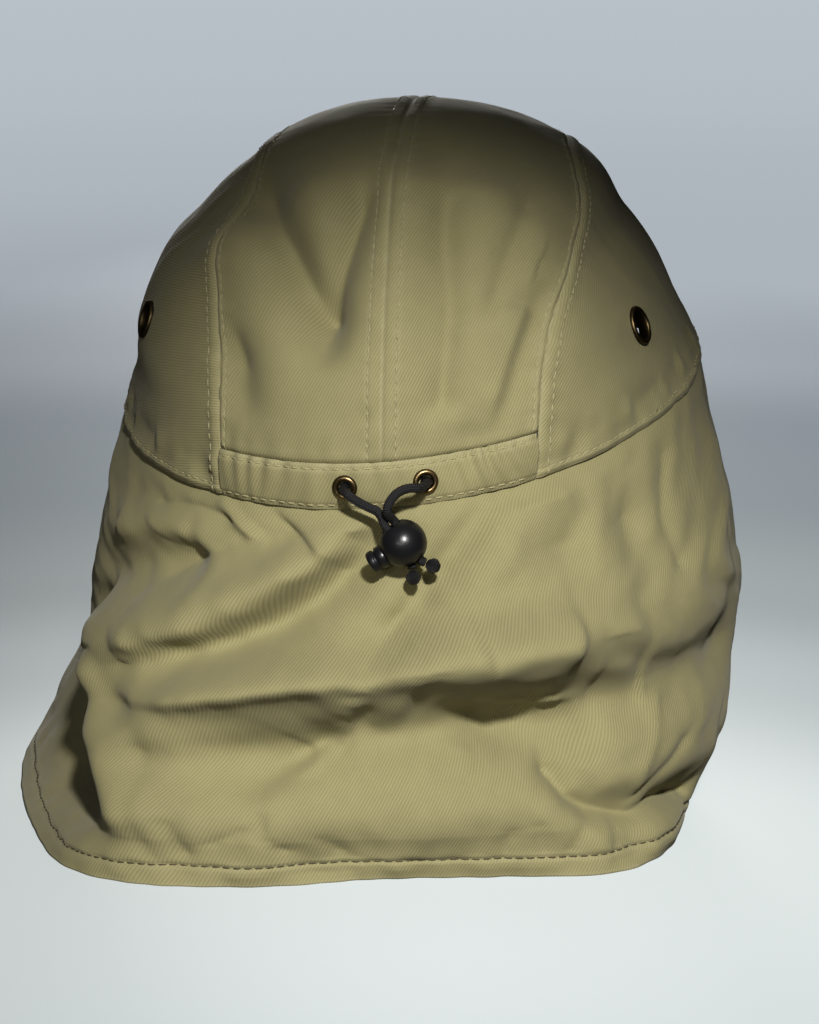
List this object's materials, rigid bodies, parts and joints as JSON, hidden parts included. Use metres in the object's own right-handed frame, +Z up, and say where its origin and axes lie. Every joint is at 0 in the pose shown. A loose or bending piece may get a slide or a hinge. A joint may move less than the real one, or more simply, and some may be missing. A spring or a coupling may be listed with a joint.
{
  "type": "neck flap cap",
  "caption": "Khaki cotton cap with a peak, a rumpled neck flap it stands on, vent eyelets, and a drawcord with a ball lock at the back.",
  "frame": {"origin": "centre of the cap's box on the surface it stands on, without the drawcord", "axes": "+Z up, -Y the way the wearer faces, +X the wearer's left"},
  "size_m": [0.2264, 0.3002, 0.2095],
  "materials": {
    "cotton_twill": "matt twill weave, topstitched",
    "eyelet_brass": "antique, rolled",
    "elastic_cord": "braided, matt black",
    "lock_plastic": "moulded, satin black"
  },
  "bodies": {
    "root": {"crown_strip_left": "cotton_twill", "crown_strip_right": "cotton_twill", "side_panel_left": "cotton_twill", "side_panel_right": "cotton_twill", "drawcord_casing": "cotton_twill", "neck_flap": "cotton_twill", "peak": "cotton_twill", "vent_eyelet_left": "eyelet_brass", "vent_eyelet_right": "eyelet_brass", "cord_eyelet_left": "eyelet_brass", "cord_eyelet_right": "eyelet_brass", "cord_left": "elastic_cord", "cord_right": "elastic_cord", "knot_left": "elastic_cord", "knot_right": "elastic_cord", "lock_ball": "lock_plastic", "lock_button": "lock_plastic"}
  },
  "joints": []
}
